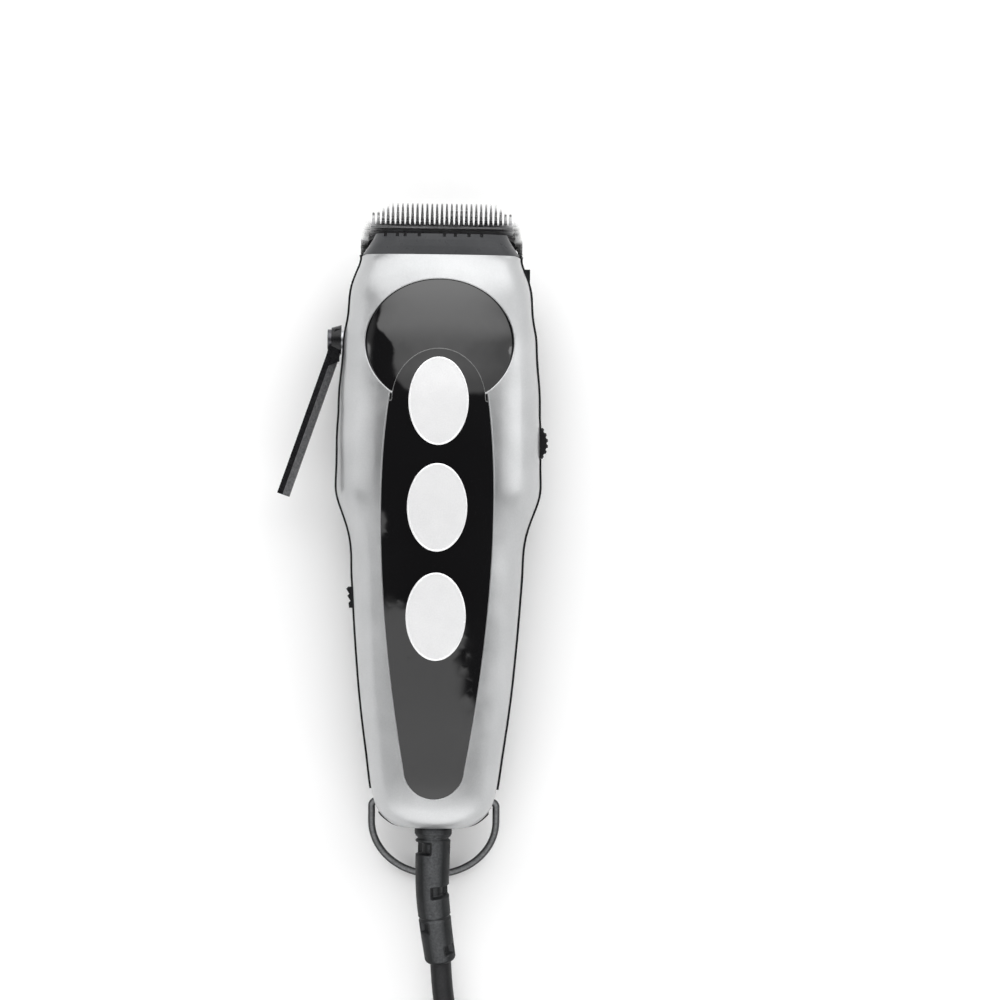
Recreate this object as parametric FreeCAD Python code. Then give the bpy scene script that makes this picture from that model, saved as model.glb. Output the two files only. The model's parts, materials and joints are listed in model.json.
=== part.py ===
import FreeCAD, Part

import math
import os

# Corded hair clipper lying on its back. Millimetres.
# +Y points to the blades, +Z out of the decorated front, X to the right.
# The origin is the centre of the flat back that it rests on.
# The head carries a fixed blade, a swinging cutter and a taper lever; an arm with an
# armature drives the cutter beside a coil on a three-legged core.

Vec = FreeCAD.Vector
os.makedirs("parts", exist_ok=True)

# ---- housing ----------------------------------------------------------------
nose_y = 80.1
tail_y = -81.8
parting_z = 18.0
wall = 2.2
rim = 0.6                 # how far the rear shell stands out past the front shell
joint_gap = 0.1           # between the two shells at the parting plane
lug_y = 74.4              # small catch on the right of the head
flat_overshoot = 2.0      # the back is cut flat this far above its full round
body_depth = 42.0         # back to front at the thickest place
waist_half_width = 28.7
front_exponent = 2.7
back_exponent = 3.2

# plan outline: distance along the clipper, share of the greatest half width
plan_outline = [
    (-81.8, 0.31), (-80.6, 0.42), (-78.6, 0.505), (-75.6, 0.575), (-71.4, 0.615),
    (-62.5, 0.658), (-45.4, 0.737), (-28.4, 0.791), (-11.4, 0.831), (0.0, 0.852),
    (5.7, 0.918), (11.4, 0.986), (17.0, 1.0), (34.1, 0.99), (54.0, 0.943),
    (68.2, 0.885), (76.0, 0.832), (80.1, 0.788),
]
# side outline: distance along the clipper, share of the full depth
front_outline = [
    (-81.8, 0.66), (-80.6, 0.715), (-78.6, 0.755), (-74.0, 0.8), (-60.0, 0.845),
    (-35.0, 0.915), (-10.0, 0.975), (15.0, 1.0), (36.0, 0.985), (55.0, 0.93),
    (70.0, 0.85), (80.1, 0.775),
]
back_outline = [
    (-81.8, 0.2), (-80.6, 0.13), (-78.6, 0.075), (-74.0, 0.02), (-66.0, -0.045),
    (-40.0, -0.048), (60.0, -0.048), (80.1, -0.02),
]

# the screws that hold the two shells together
housing_screws = [(-19.0, 44.0), (19.0, 44.0), (0.0, -52.0)]
post_r = 3.6
screw_shank_r = 1.5
screw_head_r = 2.8
screw_head_high = 2.0
screw_recess = 3.0        # depth of the recess in the back, with the head in it
screw_long = 24.0

# ---- blades -----------------------------------------------------------------
blade_tilt = 20.0
blade_origin = Vec(0.0, 62.0, 4.0)
blade_width = 46.0
blade_reach = 35.1
blade_thick = 2.0
tooth_pitch = 1.39
fixed_tooth = 6.0
cutter_width = 40.4
cutter_tip = 31.9
cutter_back = 17.0
cutter_thick = 1.9
cutter_tooth = 2.6
carrier_thick = 1.2
facet_clear = 0.25
blade_screw_x = 10.0
blade_screw_v = 8.0
blade_travel = 2.3        # how far the taper lever draws the fixed blade back
cutter_swing = 1.18       # each way, from the middle
holder_half = 20.9
holder_back = 22.4
holder_front = 27.0
holder_high = 3.4
facet_end = 13.6          # where the opening under the nose begins, along the blade
facet_half = 26.0

# ---- taper lever ------------------------------------------------------------
lever_y = 56.1
lever_z = 14.0
lever_slope = 18.9        # degrees between the bar and the clipper
lever_long = 43.6
lever_half = 1.8
lever_high = 2.9
hub_r = 4.2
lever_throw = 45.0
lever_stand = 0.6         # how much nearer than the widest place the lever's inner face is
lever_face_x = -(waist_half_width - lever_stand)
eccentric = 3.0
shaft_r = 2.6
run_clear = 0.05
tab_x = lever_face_x + 8.8
tab_thick = 1.6
eccentric_pin_r = 1.0

# ---- drive ------------------------------------------------------------------
arm_pivot = Vec(12.0, -30.0, 0.0)
arm_low = 16.0
arm_high = 22.0
arm_thick = 4.0
pivot_r = 1.5
finger_v = 19.6           # where the arm's finger stands in the blade's axes
finger_w = 5.608
tongue_high = 4.6         # of the holder's tongue, which the finger stands in
finger_r = 1.4
stack_low = 12.0
stack_high = 26.0
stack_back = -7.0
stack_long = 36.0
air_gap = 1.0
spring_y = 52.0

# ---- controls ---------------------------------------------------------------
wheel_x = 24.0
wheel_y = 27.4
wheel_r = 7.0
wheel_thick = 5.0
wheel_serrations = 25
axle_r = 1.2
switch_y = -17.0
switch_z = 14.0
switch_travel = 3.5

# ---- decoration -------------------------------------------------------------
inlay_depth = 1.6
inlay_gap = 0.08
dish_depth = 0.5
dish_y = 55.2
dish_half = (20.9, 18.0)
oval_half = (8.3, 12.25)
oval_centres = [38.8, 8.9, -21.8]
oval_gap = 0.06
strip_arch = (13.2, 14.8) # half axes of the raised strip's rounded top
oval_proud = 0.3
oval_depth = 0.9

# ---- hanging loop, strain relief, cord and plug -------------------------------
loop_wire_r = 1.0
loop_pivot = Vec(0.0, -74.5, 13.0)
loop_half = 17.7
loop_reach = 24.6
loop_drop = 28.9
loop_bend = 1.9
cord_r = 3.0
relief_r = cord_r + 2.05
relief_end_r = cord_r + 1.4
cord_floor = cord_r + 0.05
coil_centre = Vec(0.0, -200.6, 0.0)
coil_mid_r = 34.0
coil_width = 8 * cord_r + 0.4    # four turns side by side
coil_height = 4 * cord_r + 0.3   # two turns high
plug_pin_r = 2.0
plug_pin_long = 19.0
plug_pin_chamfer = 0.7
plug_long = 36.0
plug_pin_gap = 18.6
plug_z = 6.7


# ---- helpers ----------------------------------------------------------------
def save(name, shape):
    """Write one sub-part, as solids only."""
    solids = shape.Solids
    result = solids[0] if len(solids) == 1 else Part.makeCompound(solids)
    result.exportStep("parts/" + name + ".step")
    box = result.BoundBox
    print(f"{name:22s} {len(solids)} {result.Volume:10.1f} "
          f"x {box.XMin:7.2f} {box.XMax:7.2f}  y {box.YMin:8.2f} {box.YMax:7.2f}  "
          f"z {box.ZMin:6.2f} {box.ZMax:6.2f} {result.isValid()}")
    return result


def box(x0, x1, y0, y1, z0, z1):
    return Part.makeBox(x1 - x0, y1 - y0, z1 - z0, Vec(x0, y0, z0))


def cylinder(radius, start, axis, length):
    return Part.makeCylinder(radius, length, start, axis)


def fused(shapes):
    result = shapes[0]
    if len(shapes) > 1:
        result = shapes[0].multiFuse(shapes[1:])
    return result.removeSplitter()


def mirrored(shape):
    return shape.mirror(Vec(0, 0, 0), Vec(1, 0, 0))


def smooth_value(points, y):
    """Height of a smooth curve without overshoot through the points."""
    steps = [(b[1] - a[1]) / (b[0] - a[0]) for a, b in zip(points, points[1:])]
    slopes = [steps[0]]
    for before, after in zip(steps, steps[1:]):
        slopes.append(0.0 if before * after <= 0 else 2 * before * after / (before + after))
    slopes.append(steps[-1])
    y = min(max(y, points[0][0]), points[-1][0])
    for index in range(len(steps)):
        if y <= points[index + 1][0]:
            break
    start, end = points[index], points[index + 1]
    span = end[0] - start[0]
    t = (y - start[0]) / span
    return ((1 + 2 * t) * (1 - t) ** 2 * start[1] + t * (1 - t) ** 2 * span * slopes[index]
            + t * t * (3 - 2 * t) * end[1] + t * t * (t - 1) * span * slopes[index + 1])


def half_width(y):
    return waist_half_width * smooth_value(plan_outline, y)


def front_height(y):
    return body_depth * smooth_value(front_outline, y)


def back_height(y):
    return body_depth * smooth_value(back_outline, y)


def section(y, across, up, down, count=32):
    """One closed cross-section of the housing, square to Y."""
    points = []
    for index in range(count):
        angle = 2 * math.pi * index / count
        u, v = math.cos(angle), math.sin(angle)
        power = front_exponent if v >= 0 else back_exponent
        size = (abs(u) ** power + abs(v) ** power) ** (-1 / power)
        points.append(Vec(across * size * u, y, parting_z + (up if v >= 0 else down) * size * v))
    curve = Part.BSplineCurve()
    curve.interpolate(Points=points, PeriodicFlag=True, Parameters=[float(i) for i in range(count + 1)])
    return Part.Wire([curve.toShape()])


def station_list(start, end):
    """Even steps along the clipper, closer together at the rounded tail."""
    tail = [start, start + 1.2, start + 3.2, start + 6.2, start + 10.4]
    count = 22
    step = (end - tail[-1]) / count
    return tail + [tail[-1] + step * index for index in range(1, count + 1)]


def body_solid(inset, extra=0.0, end_inset=0.0, nose=0.0):
    """The whole rounded body, shrunk by inset and widened by extra."""
    wires = []
    for y in station_list(tail_y + end_inset, nose_y + nose):
        across = half_width(y) + extra - inset
        up = front_height(y) - parting_z - inset
        down = parting_z - back_height(y) - inset
        wires.append(section(y, across, up, down))
    solid = Part.makeLoft(wires, True, False)
    return solid.cut(box(-60, 60, -120, 120, -20, inset))


def ellipse_prism(centre_y, across, along, low=20.0, high=60.0):
    if along >= across:
        far, near = Vec(0, centre_y + along, low), Vec(across, centre_y, low)
    else:
        far, near = Vec(across, centre_y, low), Vec(0, centre_y + along, low)
    ellipse = Part.Ellipse(far, near, Vec(0, centre_y, low))
    face = Part.Face(Part.Wire([ellipse.toShape()]))
    return face.extrude(Vec(0, 0, high - low))


def rounded_outline(corners):
    """Closed wire in a plane from (point, corner radius) pairs."""
    edges = []
    arcs = []
    count = len(corners)
    for index in range(count):
        before = corners[index - 1][0]
        here, radius = corners[index]
        after = corners[(index + 1) % count][0]
        if radius == 0:
            arcs.append((here, None, here))
            continue
        back = (before - here).normalize()
        forward = (after - here).normalize()
        half = back.getAngle(forward) / 2
        reach = radius / math.tan(half)
        middle = (back + forward).normalize() * (radius / math.sin(half) - radius)
        arcs.append((here + back * reach, here + middle, here + forward * reach))
    for index in range(count):
        start, middle, end = arcs[index]
        if middle is not None:
            edges.append(Part.Arc(start, middle, end).toShape())
        following = arcs[(index + 1) % count][0]
        if end.distanceToPoint(following) > 1e-6:
            edges.append(Part.LineSegment(end, following).toShape())
    return Part.Wire(edges)


def plate(corners, thickness):
    """Flat piece: outline extruded along the vector thickness."""
    return Part.Face(rounded_outline(corners)).extrude(thickness)


def route_wire(points, share=0.45):
    """Straight runs joined by tangent arcs; also gives the arc radii."""
    edges = []
    radii = []
    last = points[0]
    for before, here, after in zip(points, points[1:], points[2:]):
        back = before - here
        forward = after - here
        reach = share * min(back.Length, forward.Length)
        back.normalize()
        forward.normalize()
        half = back.getAngle(forward) / 2
        radius = reach * math.tan(half)
        middle = (back + forward).normalize() * (radius / math.sin(half) - radius)
        edges.append(Part.LineSegment(last, here + back * reach).toShape())
        edges.append(Part.Arc(here + back * reach, here + middle, here + forward * reach).toShape())
        last = here + forward * reach
        radii.append(radius)
    edges.append(Part.LineSegment(last, points[-1]).toShape())
    return Part.Wire(edges), radii


def tube(wire, start, direction, radius):
    ring = Part.Wire([Part.makeCircle(radius, start, direction)])
    return wire.makePipeShell([ring], True, True)


def round_chain(path):
    """Lofted round bar through (centre, direction, radius) rings."""
    rings = [Part.Wire([Part.makeCircle(radius, centre, direction)]) for centre, direction, radius in path]
    return Part.makeLoft(rings, True, False)


def screw(head_r, head_high, shank_r, shank_long, slot=0.7):
    """Screw along +Z, its head's outer face at the origin, with a cross recess."""
    head = cylinder(head_r, Vec(0, 0, 0), Vec(0, 0, 1), head_high)
    shank = cylinder(shank_r, Vec(0, 0, head_high), Vec(0, 0, 1), shank_long)
    body = head.fuse(shank)
    arm = head_r * 0.65
    cross = box(-arm, arm, -slot / 2, slot / 2, -1, head_high * 0.55)
    cross = cross.fuse(box(-slot / 2, slot / 2, -arm, arm, -1, head_high * 0.55))
    return body.cut(cross).removeSplitter()


def coil_spring(radius, wire_r, length, turns, start, axis):
    helix = Part.makeHelix(length / turns, length, radius)
    ring = Part.Wire([Part.makeCircle(wire_r, Vec(radius, 0, 0), Vec(0, 1, 0))])
    spring = Part.Wire(helix).makePipeShell([ring], True, True)
    spring.Placement = FreeCAD.Placement(start, FreeCAD.Rotation(Vec(0, 0, 1), axis))
    return spring


in_blade = FreeCAD.Placement(blade_origin, FreeCAD.Rotation(Vec(1, 0, 0), blade_tilt))


def to_blade(shape):
    """Move a piece from the blade's own axes (X, along, off) into place."""
    moved = shape.copy()
    moved.Placement = in_blade.multiply(moved.Placement)
    return moved


def blade_point(along, off):
    """A place on the centre plane, from the blade's own axes."""
    return in_blade.multVec(Vec(0, along, off))


def comb(width, tip, back, tooth, root_share, tip_share, corner):
    """Outline of a toothed plate, teeth along +Y."""
    count = int(width / tooth_pitch)
    first = -tooth_pitch * (count - 1) / 2
    points = [Vec(-width / 2, back + corner, 0), Vec(-width / 2, tip - tooth, 0)]
    for index in range(count):
        x = first + tooth_pitch * index
        root = tooth_pitch * root_share / 2
        top = tooth_pitch * tip_share / 2
        points.append(Vec(x - root, tip - tooth, 0))
        points.append(Vec(x - top, tip, 0))
        points.append(Vec(x + top, tip, 0))
        points.append(Vec(x + root, tip - tooth, 0))
    points.append(Vec(width / 2, tip - tooth, 0))
    points.append(Vec(width / 2, back + corner, 0))
    points.append(Vec(width / 2 - corner, back, 0))
    points.append(Vec(-width / 2 + corner, back, 0))
    points.append(points[0])
    return Part.Face(Part.makePolygon(points))


# ---- the shared solids that the housing pieces are cut from --------------------
outer_front = body_solid(0.0)
outer_rear = body_solid(0.0, rim)
inner_space = body_solid(wall, 0.0, wall + 0.3, 8.0)
above = box(-60, 60, -120, 120, parting_z + joint_gap, 80)
below = box(-60, 60, -120, 120, -5, parting_z)



def inlay_outline(grow):
    """Keyhole prism: an oval dish above a long tapering strip."""
    dish = ellipse_prism(dish_y, dish_half[0] + grow, dish_half[1] + grow)
    half_points = [(13.6, 41.0), (15.5, 20.0), (15.6, 2.0), (14.2, -22.7), (11.6, -45.4),
                   (8.4, -65.3)]
    right = [Vec(x + grow, y, 20) for x, y in half_points]
    left = [Vec(-p.x, p.y, 20) for p in reversed(right)]
    side = Part.BSplineCurve()
    side.interpolate(right)
    other = Part.BSplineCurve()
    other.interpolate(left)
    bottom = Part.Arc(right[-1], Vec(0, -73.3 - grow, 20), left[0])
    top = Part.LineSegment(left[-1], right[0])
    strip_wire = Part.Wire([side.toShape(), bottom.toShape(), other.toShape(), top.toShape()])
    strip = Part.Face(strip_wire).extrude(Vec(0, 0, 40))
    return dish, strip


def build_front_shell():
    shell = outer_front.cut(inner_space).common(above)
    dish, strip = inlay_outline(inlay_gap)
    skin = outer_front.cut(body_solid(inlay_depth + inlay_gap))
    pocket = dish.fuse(strip).common(skin)
    shell = shell.cut(pocket)
    posts = []
    for x, y in housing_screws:
        posts.append(cylinder(post_r, Vec(x, y, parting_z + joint_gap), Vec(0, 0, 1), 30))
    posts = Part.makeCompound(posts).common(body_solid(inlay_depth + 0.2))
    shell = shell.fuse(posts)
    for x, y in housing_screws:
        shell = shell.cut(cylinder(screw_shank_r, Vec(x, y, 0), Vec(0, 0, 1), screw_recess + screw_long))
    shell = shell.cut(wheel_slot())
    shell = shell.cut(relief_hole())
    top = [
        (Vec(-40, -90, 0), 0), (Vec(40, -90, 0), 0), (Vec(40, 40, 0), 0),
        (Vec(half_width(nose_y) + 0.4, nose_y + 0.01, 0), 4.0),
        (Vec(-half_width(nose_y) - 0.4, nose_y + 0.01, 0), 4.0), (Vec(-40, 40, 0), 0),
    ]
    shell = shell.common(plate(top, Vec(0, 0, 60)))
    return save("front_shell", shell)


def wheel_slot():
    return box(12, 40, wheel_y - wheel_r - 0.6, wheel_y + wheel_r + 0.6,
               parting_z - wheel_thick / 2 - 0.4, parting_z + wheel_thick / 2 + 0.4)


def relief_hole():
    return cylinder(relief_r + 0.05, Vec(0, tail_y - 5, parting_z), Vec(0, 1, 0), 9)


def build_rear_shell():
    shell = outer_rear.cut(inner_space)
    facet_low = facet_top() - wall
    step_v = -blade_travel - 0.6
    facet = box(-facet_half, facet_half, step_v - wall, facet_end, facet_low, facet_low + wall)
    step = box(-facet_half, facet_half, step_v - wall, step_v, -6, facet_low + 0.5)
    floor = to_blade(facet.fuse(step)).common(body_solid(0.1, rim))
    lug_x = half_width(lug_y) + rim + 0.4
    lug = box(lug_x - 2.1, lug_x, lug_y - 2.3, lug_y + 2.3, 11.5, 16.0)
    posts = []
    for x, y in housing_screws:
        posts.append(cylinder(post_r + 0.6, Vec(x, y, 0.5), Vec(0, 0, 1), parting_z - 0.5))
    lever_boss = cylinder(4.6, Vec(lever_face_x + 1.7, lever_y, lever_z), Vec(1, 0, 0), 4.5)
    loop_boss = box(11.5, 17.5, -79.5, -70.0, 8.0, 17.9)
    pin_boss = cylinder(3.6, Vec(arm_pivot.x, arm_pivot.y, 1), Vec(0, 0, 1), arm_low - 1.3)
    wheel_boss = cylinder(3.4, Vec(wheel_x, wheel_y, 1), Vec(0, 0, 1), 13.3)
    clamp_boss = box(-9, 9, -70, -64, 1, parting_z - cord_r - 0.1)
    extra = Part.makeCompound(posts + [lever_boss, loop_boss, mirrored(loop_boss), pin_boss,
                                       wheel_boss, clamp_boss]).common(body_solid(0.1, rim))
    shell = fused([shell, floor, lug] + extra.Solids)
    shell = shell.common(below)
    shell = shell.cut(to_blade(box(-40, 40, step_v, 60, -30, facet_low)))
    opening = holder_half + cutter_swing + 0.15
    nose = to_blade(box(-40, 40, facet_end, 60, -30, 40))
    shell = shell.cut(nose.common(box(-opening, opening, 0, 120, -30, 60)))
    slots = [box(-blade_screw_x - 2.75, -blade_screw_x + 2.75, blade_screw_v - blade_travel - 3.1,
                 blade_screw_v + 3.1, 0, 6)]
    slots.append(mirrored(slots[0]))
    slots.append(box(tab_x - 1.3, tab_x + 1.3, 1.6 - blade_travel - 0.5, 5.9, 0, 8))
    shell = shell.cut(to_blade(Part.makeCompound(slots)))
    for x, y in housing_screws:
        shell = shell.cut(cylinder(screw_head_r + 0.4, Vec(x, y, -1), Vec(0, 0, 1), screw_recess + 1))
        shell = shell.cut(cylinder(screw_shank_r + 0.3, Vec(x, y, -1), Vec(0, 0, 1), 30))
    shell = shell.cut(cylinder(shaft_r + run_clear, Vec(-40, lever_y, lever_z), Vec(1, 0, 0), 20))
    shell = shell.cut(cylinder(pivot_r, Vec(arm_pivot.x, arm_pivot.y, 5), Vec(0, 0, 1), 20))
    shell = shell.cut(cylinder(axle_r, Vec(wheel_x, wheel_y, 5), Vec(0, 0, 1), 20))
    shell = shell.cut(wheel_slot())
    shell = shell.cut(relief_hole())
    shell = shell.cut(switch_window())
    for side in (-1, 1):
        hole = cylinder(loop_wire_r + run_clear, Vec(side * 12.6, loop_pivot.y, loop_pivot.z),
                        Vec(side, 0, 0), 20)
        recess = box(15.6, 25, -90, -71.0, -5, parting_z + 1)
        shell = shell.cut(hole)
        shell = shell.cut(recess if side > 0 else mirrored(recess))
    for x in (-6.3, 6.3):
        shell = shell.cut(cylinder(1.0, Vec(x, -67, 6), Vec(0, 0, 1), 20))
    return save("rear_shell", shell)


def switch_window():
    return box(-30, -18, switch_y - 3.4 - switch_travel, switch_y + 3.4,
               switch_z - 2.6, switch_z + 2.6)


def build_head_cap():
    """Black nose piece that closes the housing above the cutter."""
    wires = []
    stations = [(nose_y + 0.05, 22.3, 32.2), (nose_y + 2.4, 20.7, 31.4), (nose_y + 4.3, 19.5, 30.4),
                (nose_y + 6.0, 18.7, 28.9)]
    for y, across, front in stations:
        wires.append(section(y, across, front - parting_z, 10.0))
    cap = Part.makeLoft(wires, True, True)
    cap = cap.cut(box(-60, 60, 60, 120, -20, 20.8))
    plug_in = inner_space.common(box(-60, 60, 76.5, nose_y + 0.05, parting_z + 3.4, 60))
    core = body_solid(wall + 1.6, 0.0, 6.0, 8.0)
    plug_in = plug_in.cut(core)
    cap = cap.fuse(plug_in).cut(box(-4.6, 4.6, 70, 82.0, 0, 23.0))
    notch_places = [-15.8, -12.4, -10.2, -6.2, 0.9, 4.0, 7.8, 11.4]
    notches = [box(x - 0.45, x + 0.45, nose_y + 5.1, nose_y + 8, 0, 60) for x in notch_places]
    cap = cap.cut(Part.makeCompound(notches))
    return save("head_cap", cap.removeSplitter())


def build_inlay():
    dish, strip = inlay_outline(0.0)
    base = body_solid(inlay_depth)
    arch_y = oval_centres[0]
    arch = ellipse_prism(arch_y, *strip_arch)
    raised = strip.cut(box(-30, 30, arch_y, 100, 0, 90)).fuse(arch)
    high = outer_front.cut(base).common(raised)
    low = body_solid(dish_depth).cut(base).common(dish.fuse(strip))
    panel = low.fuse(high)
    for centre in oval_centres:
        pocket = ellipse_prism(centre, oval_half[0] + oval_gap, oval_half[1] + oval_gap)
        floor = body_solid(oval_depth + 0.02)
        panel = panel.cut(pocket.cut(floor))
    return save("inlay_panel", panel)


def build_ovals():
    top = body_solid(-oval_proud)
    floor = body_solid(oval_depth)
    for number, centre in enumerate(oval_centres, 1):
        disc = ellipse_prism(centre, *oval_half).common(top).cut(floor)
        save(f"oval_insert_{number}", disc)


# ---- blade set ----------------------------------------------------------------
def build_blades():
    outline = comb(blade_width, blade_reach, 0.0, fixed_tooth, 0.72, 0.34, 2.5)
    fixed = outline.extrude(Vec(0, 0, -blade_thick))
    bevel = box(-40, 40, 0, 14, -6, 0)
    bevel_turn = FreeCAD.Rotation(Vec(1, 0, 0), 11)
    bevel.Placement = FreeCAD.Placement(Vec(0, blade_reach - 8.0, -blade_thick), bevel_turn)
    fixed = fixed.cut(bevel)
    for x in (-blade_screw_x, blade_screw_x):
        fixed = fixed.cut(cylinder(1.8, Vec(x, blade_screw_v, -5), Vec(0, 0, 1), 10))
        fixed = fixed.cut(cylinder(1.2, Vec(x * 2.05, blade_screw_v + 12.5, -5), Vec(0, 0, 1), 10))
    save("fixed_blade", to_blade(fixed))

    moving = comb(cutter_width, cutter_tip, cutter_back, cutter_tooth, 0.74, 0.4, 1.2)
    moving = moving.extrude(Vec(0, 0, cutter_thick))
    moving = moving.cut(box(-30, 30, cutter_tip - cutter_tooth - 0.9, cutter_tip + 1, 1.1, 5))
    moving = moving.cut(box(-15, 15, cutter_back + 6.5, cutter_back + 9.0, -1, 0.6))
    moving.translate(Vec(0, 0, 0.02))
    save("moving_cutter", to_blade(moving))

    under = cutter_thick + 0.02
    bar_back = holder_back
    bar_front = holder_front
    reach = holder_half
    corners = [
        (Vec(-reach, bar_back, under), 0.9), (Vec(reach, bar_back, under), 0.9),
        (Vec(reach, bar_front - 1.6, under), 0.9), (Vec(reach - 3.2, bar_front, under), 2.5),
        (Vec(-reach + 3.2, bar_front, under), 2.5), (Vec(-reach, bar_front - 1.6, under), 0.9),
    ]
    bar = plate(corners, Vec(0, 0, holder_high))
    tongue = box(-7.5, 7.5, cutter_back + 0.3, bar_back + 1, under, under + tongue_high)
    holder = fused([bar, tongue])
    slot = box(-finger_r - 0.03, finger_r + 0.03, cutter_back - 1, bar_back - 0.5, under + 0.8, 20)
    ribs = [box(x - 0.35, x + 0.35, bar_front - 0.5, bar_front + 1, under, under + holder_high)
            for x in (5.3 * step for step in range(-3, 4))]
    holder = holder.cut(slot).cut(Part.makeCompound(ribs))
    save("cutter_holder", to_blade(holder))


def build_carrier():
    base = box(-17, 17, 2.0, 13.4, 0.0, carrier_thick)
    top = carrier_thick + facet_clear + wall + 0.3
    bosses = [cylinder(2.4, Vec(x, blade_screw_v, 0), Vec(0, 0, 1), top)
              for x in (-blade_screw_x, blade_screw_x)]
    stem = box(tab_x - tab_thick / 2, tab_x + tab_thick / 2, 1.6, 5.4, 0.0, 6.0)
    foot = box(tab_x - tab_thick / 2, -16.5, 2.0, 5.4, 0.0, carrier_thick)
    rest_turn = math.radians(lever_throw / 2)
    pin_v, pin_w = eccentric_place(rest_turn)
    head = box(tab_x - tab_thick / 2, tab_x + tab_thick / 2, pin_v - 3.2, max(pin_v + 3.2, 5.4),
               facet_top() + 0.35, pin_w + 3.0)
    carrier = fused([base, foot, stem, head] + bosses)
    slot_r = eccentric_pin_r + 0.08
    low_w = pin_w - eccentric * (1 - math.cos(rest_turn)) - 0.3
    high_w = pin_w + 0.3
    slot = box(tab_x - 3, tab_x + 3, pin_v - slot_r, pin_v + slot_r, low_w, high_w)
    for w in (low_w, high_w):
        slot = slot.fuse(cylinder(slot_r, Vec(tab_x - 3, pin_v, w), Vec(1, 0, 0), 6))
    carrier = carrier.cut(slot)
    for x in (-blade_screw_x, blade_screw_x):
        carrier = carrier.cut(cylinder(1.5, Vec(x, blade_screw_v, -1), Vec(0, 0, 1), 20))
    save("blade_carrier", to_blade(carrier.removeSplitter()))

    washers = []
    for x in (-blade_screw_x, blade_screw_x):
        ring = cylinder(3.4, Vec(x, blade_screw_v, top), Vec(0, 0, 1), 0.8)
        washers.append(ring.cut(cylinder(1.5, Vec(x, blade_screw_v, top - 1), Vec(0, 0, 1), 4)))
    save("carrier_washers", to_blade(Part.makeCompound(washers)))
    screws = []
    for x in (-blade_screw_x, blade_screw_x):
        one = screw(3.3, 1.5, 1.5, blade_thick + top + 1.6)
        one.translate(Vec(x, blade_screw_v, -blade_thick - 1.5))
        screws.append(one)
    save("blade_screws", to_blade(Part.makeCompound(screws)))


def facet_top():
    return carrier_thick + 0.05 + facet_clear + wall


def eccentric_place(turn):
    """Where the eccentric pin stands in the blade's axes, turn from its middle."""
    tilt = math.radians(blade_tilt)
    dy = lever_y - blade_origin.y
    dz = lever_z - blade_origin.z
    along = dy * math.cos(tilt) + dz * math.sin(tilt)
    off = -dy * math.sin(tilt) + dz * math.cos(tilt)
    return along + eccentric * math.sin(turn), off - eccentric * math.cos(turn)


def build_spring():
    """Two-armed wire spring that presses the cutter's holder down."""
    wire_r = 0.7
    bridge_v = 12.5
    low = facet_top() + wire_r
    high = cutter_thick + holder_high + wire_r + 0.25
    arms = []
    for side in (-1, 1):
        points = [Vec(side * 14.6, bridge_v, low), Vec(side * 14.2, 17.0, low + 0.5),
                  Vec(side * 13.0, 21.0, high), Vec(side * 11.5, 25.4, high)]
        path, _ = route_wire(points, 0.4)
        arms.append(tube(path, points[0], points[1] - points[0], wire_r))
    bridge = cylinder(wire_r, Vec(-15.2, bridge_v, low), Vec(1, 0, 0), 30.4)
    saddle = box(-4, 4, bridge_v - 1.6, 13.5, facet_top(), facet_top() + 2.4)
    save("cutter_spring", to_blade(fused(arms + [bridge])))
    groove = cylinder(wire_r + 0.01, Vec(-15.3, bridge_v, low), Vec(1, 0, 0), 30.6)
    save("spring_saddle", to_blade(saddle.cut(groove)))


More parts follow.
